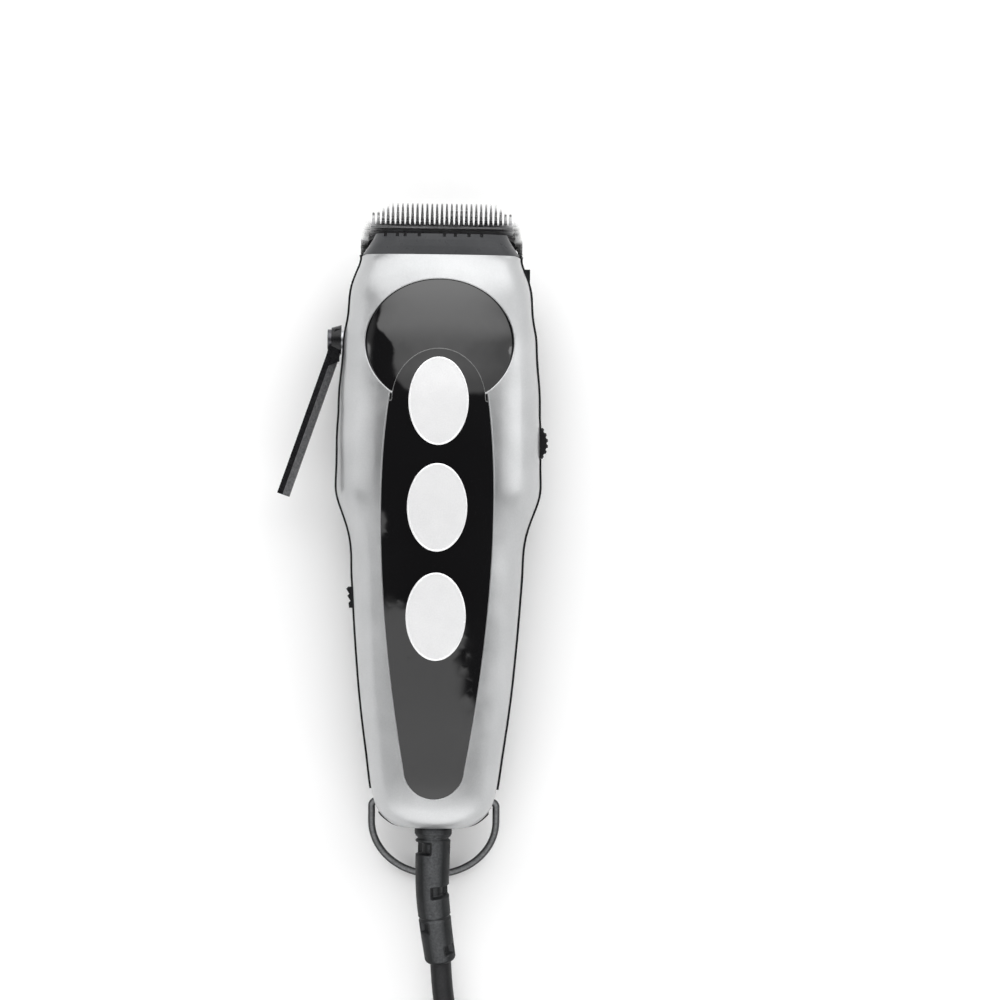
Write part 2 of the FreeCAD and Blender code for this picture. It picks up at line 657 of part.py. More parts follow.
# ---- taper lever ----------------------------------------------------------------
def build_lever():
    face_x = lever_face_x
    hub = Part.makeCone(hub_r - 0.8, hub_r, 2.8, Vec(face_x - 2.8, lever_y, lever_z), Vec(1, 0, 0))
    slope = math.radians(lever_slope)
    bar_start = Vec(face_x - 1.75, lever_y - 3.0, lever_z)
    direction = Vec(-math.sin(slope), -math.cos(slope), 0)
    across = Vec(-math.cos(slope), math.sin(slope), 0)
    up = Vec(0, 0, 1)
    half = lever_half
    high = lever_high
    profile = [across * -half - up * high, across * half - up * high, across * half + up * (high - 0.4),
               across * 0.2 + up * high, across * -half + up * (high - 1.6)]
    ring = [bar_start + p for p in profile]
    bar = Part.Face(Part.makePolygon(ring + ring[:1])).extrude(direction * lever_long)
    root = [
        (Vec(face_x - 0.3, lever_y + hub_r - 1.2, lever_z - high), 0),
        (Vec(face_x - 0.5, lever_y - 6.2, lever_z - high), 0),
        (Vec(face_x - 5.2, lever_y - 8.2, lever_z - high), 0),
        (Vec(face_x - 2.9, lever_y, lever_z - high), 2.0),
        (Vec(face_x - 1.7, lever_y + hub_r - 1.2, lever_z - high), 0.6),
    ]
    neck = plate(root, Vec(0, 0, 2 * high))
    lever = fused([hub, neck, bar])
    socket = box(face_x - 2.1, face_x + 1, lever_y - 1.9, lever_y + 1.9, lever_z - 1.9, lever_z + 1.9)
    socket = socket.fuse(cylinder(1.1, Vec(face_x - 4, lever_y, lever_z), Vec(1, 0, 0), 4))
    socket = socket.fuse(cylinder(3.2, Vec(face_x - 8, lever_y, lever_z), Vec(1, 0, 0), 5.2))
    save("taper_lever", lever.cut(socket).removeSplitter())

    shaft = cylinder(shaft_r, Vec(face_x, lever_y, lever_z), Vec(1, 0, 0), 6.4)
    square = box(face_x - 2.0, face_x, lever_y - 1.85, lever_y + 1.85, lever_z - 1.85, lever_z + 1.85)
    disc = cylinder(4.3, Vec(face_x + 6.4, lever_y, lever_z), Vec(1, 0, 0), 0.8)
    pin_v, pin_w = eccentric_place(math.radians(lever_throw / 2))
    place = in_blade.multVec(Vec(0, pin_v, pin_w))
    pin = cylinder(eccentric_pin_r, Vec(face_x + 7.2, place.y, place.z), Vec(1, 0, 0), 2.9)
    shaft = fused([shaft, square, disc, pin])
    shaft = shaft.cut(cylinder(1.0, Vec(face_x - 3, lever_y, lever_z), Vec(1, 0, 0), 7))
    save("lever_shaft", shaft)

    one = screw(2.9, 1.1, 0.98, 5.4, 0.6)
    inward = FreeCAD.Rotation(Vec(0, 0, 1), Vec(1, 0, 0))
    one.Placement = FreeCAD.Placement(Vec(face_x - 3.9, lever_y, lever_z), inward)
    save("lever_screw", one)


# ---- motor ------------------------------------------------------------------------
def build_motor():
    pole_x = 6.0 - air_gap
    y0 = stack_back
    yoke = box(-19, -13, y0, y0 + stack_long, stack_low, stack_high)
    legs = [box(-13, pole_x, y0 + start, y0 + start + deep, stack_low, stack_high)
            for start, deep in ((0, 6), (12, 12), (30, 6))]
    stack = fused([yoke] + legs)
    bolt_places = [y0 + 3, y0 + stack_long - 3]
    for y in bolt_places:
        stack = stack.cut(cylinder(1.6, Vec(-16, y, 0), Vec(0, 0, 1), 40))
    save("stator_core", stack)

    core = box(-13, 3.8, y0 + 12, y0 + 24, stack_low, stack_high)
    sleeve = box(-12.9, 3.8, y0 + 11.2, y0 + 24.8, stack_low - 0.8, stack_high + 0.8)
    flanges = [box(x, x + 0.9, y0 + 6.2, y0 + 29.8, 7.0, 31.0) for x in (-12.9, 2.9)]
    save("coil_bobbin", fused([sleeve] + flanges).cut(core))
    turns = box(-12.0, 2.9, y0 + 6.8, y0 + 29.2, 7.6, 30.4)
    turns = turns.makeFillet(2.2, [e for e in turns.Edges if abs(e.tangentAt(0).x) > 0.9])
    save("coil_winding", turns.cut(sleeve))

    pillars = []
    screws = []
    for y in bolt_places:
        pillar = cylinder(3.2, Vec(-16, y, wall), Vec(0, 0, 1), stack_low - wall)
        pillars.append(pillar.cut(cylinder(1.3, Vec(-16, y, 3.5), Vec(0, 0, 1), 30)).common(inner_space))
        one = screw(2.9, 1.7, 1.3, stack_high - 5)
        upside_down = FreeCAD.Rotation(Vec(1, 0, 0), 180)
        one.Placement = FreeCAD.Placement(Vec(-16, y, stack_high + 1.7), upside_down)
        screws.append(one)
    save("motor_pillars", Part.makeCompound(pillars))
    save("motor_screws", Part.makeCompound(screws))


def build_arm():
    half = arm_thick / 2
    finger_y = blade_point(finger_v, finger_w).y
    hub = cylinder(3.8, Vec(arm_pivot.x, arm_pivot.y, arm_low), Vec(0, 0, 1), arm_high - arm_low)
    x = arm_pivot.x
    outline = [
        (Vec(x - half, arm_pivot.y, arm_low), 0), (Vec(x + half, arm_pivot.y, arm_low), 0),
        (Vec(x + half, 33.5, arm_low), 8.0), (Vec(2.6, 71.0, arm_low), 4.0),
        (Vec(2.6, finger_y + 2.0, arm_low), 0), (Vec(-2.6, finger_y + 2.0, arm_low), 0),
        (Vec(-2.6, 70.0, arm_low), 4.0), (Vec(x - half, 32.0, arm_low), 8.0),
    ]
    bar = plate(outline, Vec(0, 0, arm_high - arm_low))
    underside = blade_point(holder_back + 1.0, cutter_thick + tongue_high).z + 1.29
    under = box(-10, 20, 66, 90, 0, underside)
    arm = fused([hub, bar]).cut(under)
    arm = arm.cut(cylinder(pivot_r + run_clear, Vec(x, arm_pivot.y, 0), Vec(0, 0, 1), 50))
    slot_floor = blade_point(finger_v, cutter_thick + 0.82).z
    finger_low = slot_floor + finger_r * math.tan(math.radians(blade_tilt)) + 0.13
    finger = cylinder(finger_r, Vec(0, finger_y, finger_low), Vec(0, 0, 1), underside + 1.0 - finger_low)
    arm = arm.fuse(finger).removeSplitter()
    save("drive_arm", arm)
    block = box(6.0, x - half, stack_back, stack_back + stack_long, stack_low, stack_high)
    save("armature", block)
    pin = cylinder(pivot_r, Vec(x, arm_pivot.y, 5.0), Vec(0, 0, 1), arm_high - 5.0 + 1.4)
    cap = cylinder(2.8, Vec(x, arm_pivot.y, arm_high + 0.2), Vec(0, 0, 1), 1.2)
    save("pivot_pin", fused([pin, cap]))

    for name, start_x, side, length in (("left", 1.4, -1, 10.5), ("right", 10.1, 1, 8.4)):
        start = Vec(start_x, spring_y, 19.0)
        save("return_spring_" + name, coil_spring(2.2, 0.35, length, 7, start, Vec(side, 0, 0)))
        seat_x = start_x + side * (length + 0.4)
        post = box(min(seat_x, seat_x + side * 2.0), max(seat_x, seat_x + side * 2.0),
                   spring_y - 3.4, spring_y + 3.4, 2.2, 22.5)
        peg = cylinder(1.6, Vec(seat_x, spring_y, 19.0), Vec(-side, 0, 0), 2.6)
        save("return_bracket_" + name, fused([post, peg]).common(inner_space))


# ---- controls -----------------------------------------------------------------------
def build_wheel():
    centre = Vec(wheel_x, wheel_y, parting_z - wheel_thick / 2)
    wheel = cylinder(wheel_r, centre, Vec(0, 0, 1), wheel_thick)
    wheel = wheel.makeChamfer(0.5, [e for e in wheel.Edges if e.Curve.TypeId == "Part::GeomCircle"])
    cuts = []
    for index in range(wheel_serrations):
        angle = 2 * math.pi * index / wheel_serrations
        place = centre + Vec(math.cos(angle), math.sin(angle), 0) * (wheel_r + 0.15) - Vec(0, 0, 1)
        cuts.append(cylinder(0.55, place, Vec(0, 0, 1), wheel_thick + 2))
    wheel = wheel.cut(Part.makeCompound(cuts))
    wheel = wheel.cut(cylinder(axle_r + run_clear, centre - Vec(0, 0, 5), Vec(0, 0, 1), 20))
    save("power_wheel", wheel)
    axle_low = 8.0
    axle_top = parting_z + wheel_thick / 2 + 1.6
    save("wheel_axle", cylinder(axle_r, Vec(wheel_x, wheel_y, axle_low), Vec(0, 0, 1), axle_top - axle_low))


def build_switch():
    outside = half_width(switch_y) + rim
    skirt_x = 0.3 - 0.975 * (half_width(switch_y - 9.4 - switch_travel) - wall)
    skirt = box(skirt_x, skirt_x + 0.8, switch_y - 9.4, switch_y + 9.4,
                switch_z - 3.4, switch_z + 3.4)
    stem = box(-outside - 0.4, skirt_x + 0.1, switch_y - 3.0, switch_y + 3.0,
               switch_z - 2.3, switch_z + 2.3)
    steps = [Vec(-outside + 0.2, switch_y - 3.0, switch_z - 2.3),
             Vec(-outside - 0.7, switch_y - 3.0, switch_z - 2.3)]
    for index in range(3):
        low = switch_y - 3.0 + 2.0 * index
        proud = 0.9 + 0.35 * index
        steps.append(Vec(-outside - proud, low + 1.4, switch_z - 2.3))
        steps.append(Vec(-outside - proud + 0.55, low + 2.0, switch_z - 2.3))
    steps.append(Vec(-outside + 0.2, switch_y + 3.0, switch_z - 2.3))
    grip = Part.Face(Part.makePolygon(steps + steps[:1])).extrude(Vec(0, 0, 4.6))
    save("switch_knob", fused([skirt, stem, grip]))
    inside = skirt_x + 1.1
    case = box(inside, inside + 6.0, switch_y - 8.0, switch_y + 8.0, switch_z - 5, switch_z + 5)
    terminals = [box(inside + 5.9, inside + 8.6, switch_y + y - 1.2, switch_y + y + 1.2,
                     switch_z - 0.3, switch_z + 0.3) for y in (-5.0, 5.0)]
    save("switch_case", fused([case] + terminals))


# ---- tail --------------------------------------------------------------------------
def build_loop():
    tilt = FreeCAD.Placement(loop_pivot, FreeCAD.Rotation(Vec(1, 0, 0), loop_drop))
    straight = loop_reach - loop_half
    inner_x = 13.0
    bend = loop_bend * (1 - math.sqrt(0.5))
    edges = [
        Part.LineSegment(Vec(-inner_x, 0, 0), Vec(-loop_half + loop_bend, 0, 0)).toShape(),
        Part.Arc(Vec(-loop_half + loop_bend, 0, 0), Vec(-loop_half + bend, -bend, 0),
                 Vec(-loop_half, -loop_bend, 0)).toShape(),
        Part.LineSegment(Vec(-loop_half, -loop_bend, 0), Vec(-loop_half, -straight, 0)).toShape(),
        Part.Arc(Vec(-loop_half, -straight, 0), Vec(0, -loop_reach, 0),
                 Vec(loop_half, -straight, 0)).toShape(),
        Part.LineSegment(Vec(loop_half, -straight, 0), Vec(loop_half, -loop_bend, 0)).toShape(),
        Part.Arc(Vec(loop_half, -loop_bend, 0), Vec(loop_half - bend, -bend, 0),
                 Vec(loop_half - loop_bend, 0, 0)).toShape(),
        Part.LineSegment(Vec(loop_half - loop_bend, 0, 0), Vec(inner_x, 0, 0)).toShape(),
    ]
    loop = tube(Part.Wire(edges), Vec(-inner_x, 0, 0), Vec(1, 0, 0), loop_wire_r)
    loop.Placement = tilt
    save("hanging_loop", loop)


relief_route = [
    Vec(0, -81.8, 18.0), Vec(-0.1, -92.0, 17.2), Vec(0.0, -101.0, 15.2),
    Vec(1.1, -110.8, 12.3), Vec(2.5, -120.1, 9.1),
]


def build_relief():
    points = relief_route
    curve = Part.BSplineCurve()
    curve.interpolate(Points=points, InitialTangent=Vec(0, -1, 0), FinalTangent=relief_exit())
    rings = [(Vec(0, -77.2, 18.0), Vec(0, -1, 0), relief_r), (Vec(0, -79.5, 18.0), Vec(0, -1, 0), relief_r)]
    steps = 12
    for index in range(steps + 1):
        value = curve.LastParameter * index / steps
        share = index / steps
        rings.append((curve.value(value), Vec(*curve.tangent(value)[0]),
                      relief_r + (relief_end_r - relief_r) * share))
    body = round_chain(rings)
    flange = cylinder(7.0, Vec(0, -79.2, 18.0), Vec(0, 1, 0), 2.0)
    collar = Part.makeCone(5.7, 5.2, 2.4, Vec(0, -81.85, 18.0), Vec(0, -1, 0))
    relief = fused([body, flange, collar])
    for y, side in ((-85.4, -1), (-101.8, 1), (-111.6, -1)):
        height = 18.0 + (y + 81.8) * 0.16
        ends = sorted((side * 1.2, side * 9))
        slot = box(ends[0], ends[1], y - 1.5, y + 1.5, height - 9, height + 9)
        relief = relief.cut(slot)
    relief = relief.cut(box(-9, 9, -120, -116.6, 0, 30).cut(box(-9, 2.4, -130, -100, 0, 30)))
    core = round_chain([(point, direction, cord_r - 0.25) for point, direction, _ in rings])
    save("strain_relief", relief.cut(core))
    save("cord_core", core)


def relief_exit():
    """Direction in which the cord leaves the strain relief."""
    return (cord_route[1] - cord_route[0]).normalize()


cord_route = [
    Vec(2.5, -120.1, 9.1), Vec(3.0, -129.3, cord_floor + 3.25), Vec(5.2, -140.0, cord_floor + 1.15),
    Vec(10.6, -149.6, cord_floor + 0.25),
    Vec(18.2, -158.0, cord_floor), Vec(26.4, -166.4, cord_floor),
]
cord_tail_route = [
    Vec(42.3, -208.1, 9.2), Vec(40.4, -223.2, 8.6), Vec(36.5, -239.4, 5.3), Vec(28.1, -253.4, 4.0),
    Vec(15.4, -262.2, 5.2), Vec(1.6, -265.2, plug_z),
]


def build_cord():
    for name, points in (("cord", cord_route), ("cord_tail", cord_tail_route)):
        path, radii = route_wire(points)
        solid = tube(path, points[0], points[1] - points[0], cord_r)
        expected = math.pi * cord_r ** 2 * path.Length
        print(name, "arc radii", [round(r, 1) for r in radii], "length", round(path.Length, 1),
              "volume share", round(solid.Volume / expected, 4))
        save(name, solid)
    low_z = 0.05
    inner_r = coil_mid_r - coil_width / 2
    profile = [
        (Vec(inner_r, 0, low_z), 2.8), (Vec(inner_r + coil_width, 0, low_z), 2.8),
        (Vec(inner_r + coil_width, 0, coil_height), 2.8), (Vec(inner_r, 0, coil_height), 2.8),
    ]
    ring = Part.Face(rounded_outline(profile)).revolve(Vec(0, 0, 0), Vec(0, 0, 1), 360)
    ring.translate(coil_centre)
    save("cord_coil", ring)


def build_plug():
    """Plain two-pin mains plug lying on the floor."""
    start = cord_tail_route[-1]
    heading = cord_tail_route[-1] - cord_tail_route[-2]
    heading.z = 0
    heading.normalize()
    turn = FreeCAD.Rotation(Vec(0, 1, 0), heading)
    place = FreeCAD.Placement(Vec(start.x, start.y, 0), turn)
    rings = []
    stations = [(0, 4.4, 4.4), (7, 4.8, 4.8), (12, 8.5, 6.2), (20, 13.0, 6.4),
                (plug_long - 2, 13.0, 6.4), (plug_long, 12.2, 5.8)]
    for y, across, high in stations:
        points = []
        for index in range(24):
            angle = 2 * math.pi * index / 24
            u, v = math.cos(angle), math.sin(angle)
            size = (abs(u) ** 3 + abs(v) ** 3) ** (-1 / 3)
            points.append(Vec(across * size * u, y, plug_z + high * size * v))
        curve = Part.BSplineCurve()
        curve.interpolate(Points=points, PeriodicFlag=True, Parameters=[float(i) for i in range(25)])
        rings.append(Part.Wire([curve.toShape()]))
    body = Part.makeLoft(rings, True, False)
    pins = []
    for x in (-plug_pin_gap / 2, plug_pin_gap / 2):
        pin = cylinder(plug_pin_r, Vec(x, plug_long, plug_z), Vec(0, 1, 0), plug_pin_long)
        end_edges = [e for e in pin.Edges if e.BoundBox.YMin > plug_long + plug_pin_long - 0.01]
        pin = pin.makeChamfer(plug_pin_chamfer, end_edges)
        shank = cylinder(plug_pin_r - 0.4, Vec(x, plug_long - 8.0, plug_z), Vec(0, 1, 0), 8.0)
        pins.append(pin.fuse(shank))
    for pin in pins:
        body = body.cut(pin)
    body.Placement = place
    save("plug_body", body)
    for number, pin in enumerate(pins, 1):
        pin.Placement = place
        save(f"plug_pin_{number}", pin)
    for number, x in enumerate((-plug_pin_gap / 2, plug_pin_gap / 2), 1):
        middle = place.multVec(Vec(x, plug_long + (plug_pin_long - plug_pin_chamfer) / 2, plug_z))
        print("plug pin", number, "middle", [round(v, 3) for v in middle],
              "axis", [round(v, 5) for v in heading])


def build_inside_cord():
    clamp_top = parting_z - cord_r
    save("cord_inside", cylinder(cord_r - 0.25, Vec(0, -77.2, 18.0), Vec(0, 1, 0), 15.2))
    strap = box(-8.6, 8.6, -69.4, -64.6, clamp_top, 22.6).cut(
        cylinder(cord_r - 0.2, Vec(0, -80, 18.0), Vec(0, 1, 0), 30))
    strap = strap.cut(box(-20, -4.4, -80, -60, 16.8, 30)).cut(box(4.4, 20, -80, -60, 16.8, 30))
    for x in (-6.3, 6.3):
        strap = strap.cut(cylinder(1.3, Vec(x, -67, 6), Vec(0, 0, 1), 30))
    save("cord_clamp", strap)
    screws = []
    for x in (-6.3, 6.3):
        one = screw(1.8, 1.3, 1.0, 9.0, 0.5)
        one.Placement = FreeCAD.Placement(Vec(x, -67, 16.8 + 1.3), FreeCAD.Rotation(Vec(1, 0, 0), 180))
        screws.append(one)
    save("clamp_screws", Part.makeCompound(screws))
    blue = [Vec(-1.3, -61.1, 18.0), Vec(-5.6, -56.5, 18.6), Vec(-7.4, -48.0, 19.2), Vec(-9.4, -38.0, 17.0),
            Vec(-11.6, -28.5, 14.2)]
    brown = [Vec(1.3, -61.1, 18.0), Vec(5.8, -56.5, 19.0), Vec(7.4, -48.0, 21.4), Vec(4.4, -37.0, 24.6),
             Vec(0.6, -25.0, 27.2), Vec(-3.0, -13.0, 27.8), Vec(-4.6, -0.3, 27.0)]
    for name, points in (("lead_to_switch", blue), ("lead_to_coil", brown)):
        path, _ = route_wire(points)
        save(name, tube(path, points[0], points[1] - points[0], 0.9))


def build_housing_screws():
    screws = []
    for x, y in housing_screws:
        one = screw(screw_head_r, screw_head_high, screw_shank_r, screw_long)
        one.translate(Vec(x, y, screw_recess - screw_head_high))
        screws.append(one)
    save("housing_screws", Part.makeCompound(screws))


build_front_shell()
build_rear_shell()
build_head_cap()
build_inlay()
build_ovals()
build_blades()
build_carrier()
build_spring()
build_lever()
build_motor()
build_arm()
build_wheel()
build_switch()
build_loop()
build_relief()
build_cord()
build_plug()
build_inside_cord()
build_housing_screws()
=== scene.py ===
import json
import math

import bmesh
import bpy
from mathutils import Matrix, Vector


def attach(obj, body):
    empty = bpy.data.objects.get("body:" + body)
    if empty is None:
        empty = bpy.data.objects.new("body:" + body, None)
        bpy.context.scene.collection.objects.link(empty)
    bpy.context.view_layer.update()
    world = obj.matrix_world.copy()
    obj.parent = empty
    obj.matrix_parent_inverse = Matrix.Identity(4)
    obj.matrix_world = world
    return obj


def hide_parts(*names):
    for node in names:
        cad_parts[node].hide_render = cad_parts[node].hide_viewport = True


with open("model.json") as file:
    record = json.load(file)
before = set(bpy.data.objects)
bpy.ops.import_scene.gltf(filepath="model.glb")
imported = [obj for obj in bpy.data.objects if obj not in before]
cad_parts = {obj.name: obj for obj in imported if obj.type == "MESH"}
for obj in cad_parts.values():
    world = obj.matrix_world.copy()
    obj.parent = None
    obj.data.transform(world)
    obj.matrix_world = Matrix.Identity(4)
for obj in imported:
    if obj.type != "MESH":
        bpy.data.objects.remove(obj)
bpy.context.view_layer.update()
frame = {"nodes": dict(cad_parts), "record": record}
nodes = frame["nodes"]
millimetre = 0.001

# Corded hair clipper on its back. Blades towards +Y, decorated front towards +Z.


# camera, straight above and far off so that it hardly widens
cameraSet = {
    "distance": 2.0,
    "target": (0.0176, 0.0112, 0.015),
    "frameWidth": 0.284,
    "roll": 0.8,      # degrees
    "lean": 0.0,      # how far it stands to the left, in degrees
    "sensor": 36.0,
}


def makeCamera(values):
    data = bpy.data.cameras.new("viewCamera")
    data.sensor_width = values["sensor"]
    data.lens = values["sensor"] * values["distance"] / values["frameWidth"]
    data.clip_end = 20
    camera = bpy.data.objects.new("viewCamera", data)
    bpy.context.collection.objects.link(camera)
    lean = math.radians(values["lean"])
    away = Vector((-math.sin(lean), 0, math.cos(lean)))
    roll = math.radians(values["roll"])
    up = Vector((-math.sin(roll), math.cos(roll), 0))
    right = up.cross(away).normalized()
    up = away.cross(right)
    turn = Matrix((right, up, away)).transposed().to_4x4()
    spot = Vector(values["target"]) + away * values["distance"]
    camera.matrix_world = Matrix.Translation(spot) @ turn
    bpy.context.scene.camera = camera


makeCamera(cameraSet)
print("camera in place")


# small node helpers for the finishes
def startFinish(name):
    finish = bpy.data.materials.new(name)
    finish.use_nodes = True
    tree = finish.node_tree
    place = tree.nodes.new("ShaderNodeTexCoord").outputs["Object"]
    return finish, tree, tree.nodes["Principled BSDF"], place


def scaled(tree, place, stretch):
    mapping = tree.nodes.new("ShaderNodeMapping")
    tree.links.new(place, mapping.inputs["Vector"])
    mapping.inputs["Scale"].default_value = stretch
    return mapping.outputs["Vector"]


def grain(tree, place, scale, detail=3.0, rough=0.55):
    noise = tree.nodes.new("ShaderNodeTexNoise")
    tree.links.new(place, noise.inputs["Vector"])
    noise.inputs["Scale"].default_value = scale
    noise.inputs["Detail"].default_value = detail
    noise.inputs["Roughness"].default_value = rough
    return noise.outputs["Fac"]


def cells(tree, place, scale, output="Color"):
    pattern = tree.nodes.new("ShaderNodeTexVoronoi")
    tree.links.new(place, pattern.inputs["Vector"])
    pattern.inputs["Scale"].default_value = scale
    return pattern.outputs[output]


def bands(tree, place, scale, direction, distortion=0.0):
    wave = tree.nodes.new("ShaderNodeTexWave")
    wave.bands_direction = direction
    tree.links.new(place, wave.inputs["Vector"])
    wave.inputs["Scale"].default_value = scale
    wave.inputs["Distortion"].default_value = distortion
    return wave.outputs["Fac"]


def ranged(tree, value, low, high, fromLow=0.3, fromHigh=0.7):
    node = tree.nodes.new("ShaderNodeMapRange")
    tree.links.new(value, node.inputs["Value"])
    node.inputs["From Min"].default_value = fromLow
    node.inputs["From Max"].default_value = fromHigh
    node.inputs["To Min"].default_value = low
    node.inputs["To Max"].default_value = high
    return node.outputs["Result"]


def blended(tree, factor, first, second):
    mix = tree.nodes.new("ShaderNodeMix")
    mix.data_type = "RGBA"
    tree.links.new(factor, mix.inputs["Factor"])
    for socket, value in ((mix.inputs[6], first), (mix.inputs[7], second)):
        if isinstance(value, tuple):
            socket.default_value = (*value, 1)
        else:
            tree.links.new(value, socket)
    return mix.outputs[2]


def summed(tree, first, second, share):
    node = tree.nodes.new("ShaderNodeMath")
    node.operation = "MULTIPLY_ADD"
    tree.links.new(second, node.inputs[0])
    node.inputs[1].default_value = share
    tree.links.new(first, node.inputs[2])
    return node.outputs[0]


def joined(tree, operation, first, second):
    node = tree.nodes.new("ShaderNodeMath")
    node.operation = operation
    for socket, value in zip(node.inputs, (first, second)):
        if isinstance(value, (int, float)):
            socket.default_value = value
        else:
            tree.links.new(value, socket)
    return node.outputs[0]


def painted(tree, shader, colour, roughness):
    tree.links.new(colour, shader.inputs["Base Color"])
    tree.links.new(roughness, shader.inputs["Roughness"])


def raised(tree, shader, height, depth, strength=1.0):
    bump = tree.nodes.new("ShaderNodeBump")
    bump.inputs["Distance"].default_value = depth
    bump.inputs["Strength"].default_value = strength
    tree.links.new(height, bump.inputs["Height"])
    tree.links.new(bump.outputs["Normal"], shader.inputs["Normal"])


# silver lacquer with a very fine flake
silverSet = {
    "dark": (0.31, 0.315, 0.32),
    "light": (0.48, 0.485, 0.49),
    "metallic": 0.8,
    "roughness": (0.28, 0.38),
    "flake": 5200.0,
    "flakeDepth": 0.00001,
    "coat": 0.35,
    "coatRoughness": 0.12,
}


def makeSilverPaint(name, values):
    finish, tree, shader, place = startFinish(name)
    flake = cells(tree, place, values["flake"])
    single = tree.nodes.new("ShaderNodeSeparateColor")
    tree.links.new(flake, single.inputs["Color"])
    cloud = grain(tree, place, 60.0, 2.0)
    share = summed(tree, ranged(tree, cloud, 0.35, 0.75), single.outputs["Red"], 0.22)
    painted(tree, shader, blended(tree, share, values["dark"], values["light"]),
            ranged(tree, grain(tree, place, 240.0), *values["roughness"]))
    shader.inputs["Metallic"].default_value = values["metallic"]
    shader.inputs["Coat Weight"].default_value = values["coat"]
    shader.inputs["Coat Roughness"].default_value = values["coatRoughness"]
    raised(tree, shader, summed(tree, single.outputs["Green"], grain(tree, place, 420.0), 1.6),
           values["flakeDepth"], 0.55)
    return finish


# black lacquered panel, nearly a mirror
pianoSet = {
    "colour": (0.0028, 0.0026, 0.003),
    "haze": (0.006, 0.006, 0.0065),
    "roughness": (0.035, 0.075),
    "peelDepth": 0.000001,
}


def makePianoBlack(name, values):
    finish, tree, shader, place = startFinish(name)
    cloud = grain(tree, place, 35.0, 4.0)
    wipes = grain(tree, scaled(tree, place, (420.0, 60.0, 200.0)), 1.0, 5.0, 0.7)
    painted(tree, shader, blended(tree, cloud, values["colour"], values["haze"]),
            ranged(tree, wipes, *values["roughness"], 0.35, 0.75))
    shader.inputs["IOR"].default_value = 1.8
    raised(tree, shader, grain(tree, place, 130.0, 1.0), values["peelDepth"], 0.35)
    return finish


# painted highlight: finishes painted paler on the faces that turn one way (tops, and the lever's
# facet towards +X), broken into random patches: the axis, where it begins and ends, the paler tone
paintedHighlightSet = {
    "relief_rubber": ("Z", 0.78, 1.0, (0.095, 0.098, 0.102)),
    "cord_sheath": ("Z", 0.80, 1.0, (0.030, 0.030, 0.032)),
    "loop_wire": ("Z", 0.72, 0.98, (0.30, 0.305, 0.31)),
    "black_lever": ("X", 0.10, 0.40, (0.17, 0.17, 0.175)),
}


# paints the paler tone where the normal turns along the axis: a painted highlight, patchy from
# random grain
def paintedHighlight(tree, place, colour, slotName):
    if slotName not in paintedHighlightSet:
        return colour
    axis, low, high, tone = paintedHighlightSet[slotName]
    facing = tree.nodes.new("ShaderNodeSeparateXYZ")
    tree.links.new(place.node.outputs["Normal"], facing.inputs[0])
    share = ranged(tree, facing.outputs[axis], 0.0, 1.0, low, high)
    patches = ranged(tree, grain(tree, place, 1400.0, 4.0, 0.7), 0.45, 1.1)
    return blended(tree, joined(tree, "MULTIPLY", share, patches), colour, tone)


# satin plastics: colour, speckle, roughness range, size of the moulded grain and its depth
plasticSets = {
    "black_housing": ((0.008, 0.008, 0.009), (0.018, 0.018, 0.020), (0.42, 0.55), 2600.0, 0.00003),
    "black_cap": ((0.024, 0.025, 0.027), (0.042, 0.043, 0.046), (0.26, 0.36), 2600.0, 0.00002),
    "black_holder": ((0.003, 0.003, 0.0035), (0.009, 0.009, 0.010), (0.28, 0.40), 1800.0, 0.00002),
    "black_knob": ((0.007, 0.007, 0.008), (0.017, 0.017, 0.018), (0.34, 0.50), 2200.0, 0.00003),
    "white_nylon": ((0.74, 0.72, 0.66), (0.83, 0.82, 0.77), (0.36, 0.50), 900.0, 0.00002),
    "relief_rubber": ((0.004, 0.0045, 0.005), (0.014, 0.015, 0.016), (0.38, 0.55), 1500.0, 0.00005),
    "cord_sheath": ((0.004, 0.004, 0.0045), (0.012, 0.012, 0.013), (0.34, 0.48), 1200.0, 0.00004),
    "plug_rubber": ((0.013, 0.013, 0.014), (0.028, 0.028, 0.030), (0.42, 0.58), 1300.0, 0.00005),
    "blue_lead": ((0.03, 0.11, 0.40), (0.05, 0.16, 0.50), (0.32, 0.46), 900.0, 0.00002),
    "brown_lead": ((0.15, 0.06, 0.028), (0.23, 0.10, 0.05), (0.32, 0.46), 900.0, 0.00002),
}


def makePlastic(slotName, values):
    dark, light, roughness, size, depth = values
    finish, tree, shader, place = startFinish(slotName + "Finish")
    cloud = grain(tree, place, 90.0, 3.0)
    fine = grain(tree, place, size, 4.0, 0.65)
    share = ranged(tree, summed(tree, cloud, fine, 0.6), 0.0, 1.0, 0.55, 1.05)
    painted(tree, shader, paintedHighlight(tree, place, blended(tree, share, dark, light), slotName),
            ranged(tree, grain(tree, place, 310.0, 2.0), *roughness))
    if light[1] < 0.1:
        shader.inputs["Specular IOR Level"].default_value = 0.16
    pores = cells(tree, place, size * 0.7, "Distance")
    raised(tree, shader, summed(tree, fine, pores, 0.5), depth, 0.6)
    return finish


